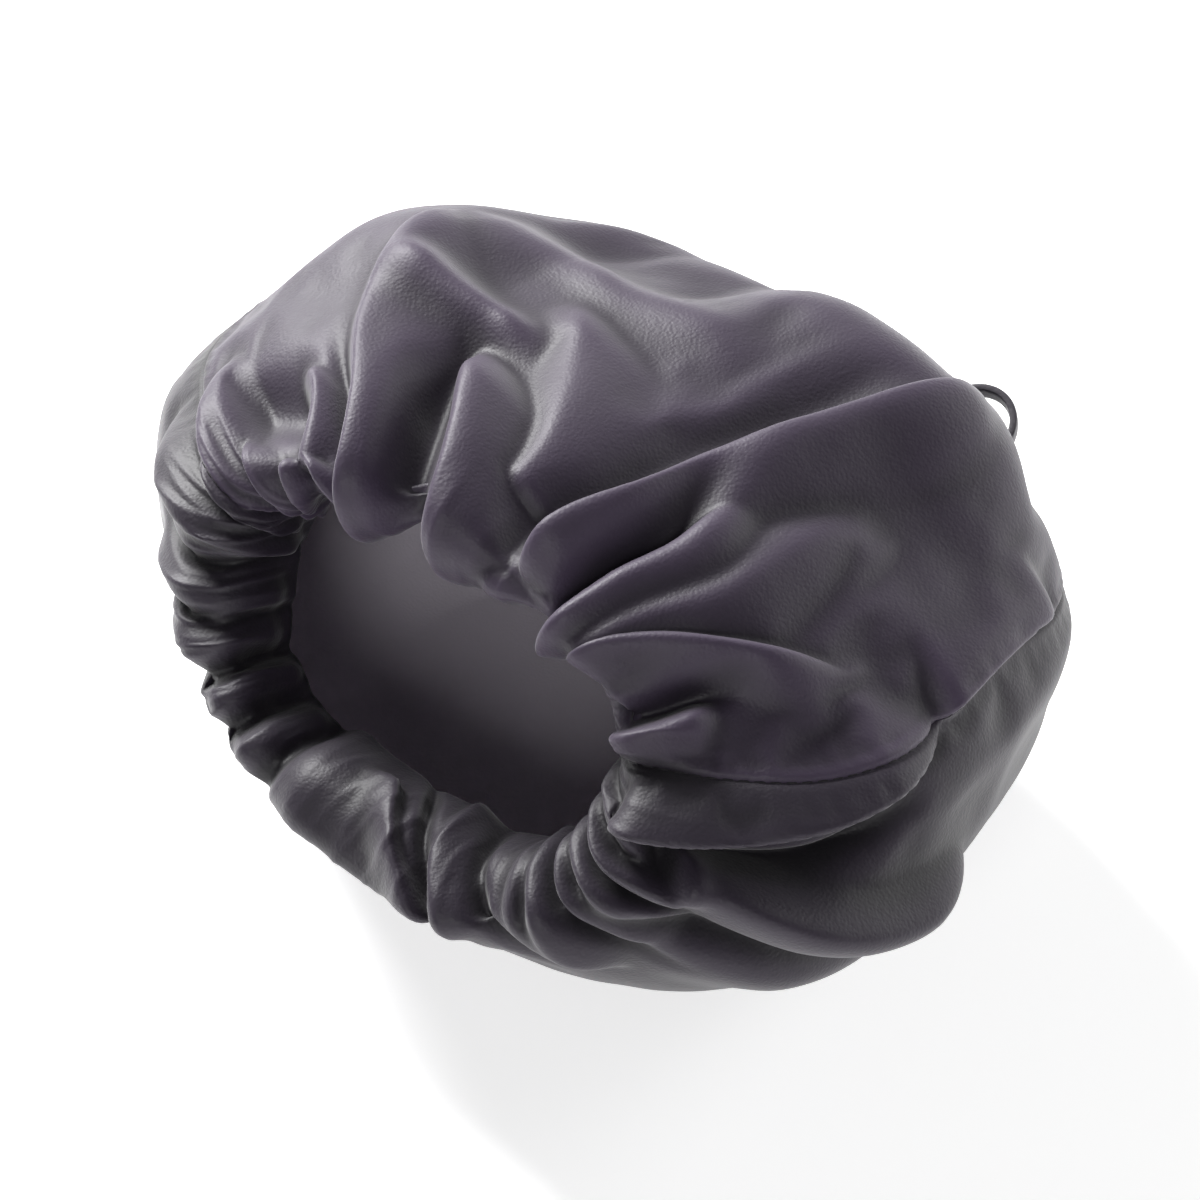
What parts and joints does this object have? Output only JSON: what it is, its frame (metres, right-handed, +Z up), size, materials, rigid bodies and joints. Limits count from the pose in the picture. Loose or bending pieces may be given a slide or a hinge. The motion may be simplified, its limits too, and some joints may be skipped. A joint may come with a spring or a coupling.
{
  "type": "gathered sheepskin pouch bag",
  "caption": "Soft leather pouch bag lying on its side, with a wide gathered mouth, two panels joined by side seams and a small wrist loop behind.",
  "frame": {"origin": "middle of the footprint, on the surface that the bag lies on", "axes": "+Z up, +X along the bag from seam to seam, -Y out of the mouth"},
  "size_m": [0.2592, 0.1976, 0.1438],
  "materials": {
    "upper_leather": "satin nappa",
    "lower_leather": "satin nappa",
    "loop_leather": "satin nappa"
  },
  "bodies": {
    "root": {"upper_panel": "upper_leather", "lower_panel": "lower_leather", "wrist_loop": "loop_leather"}
  },
  "joints": []
}
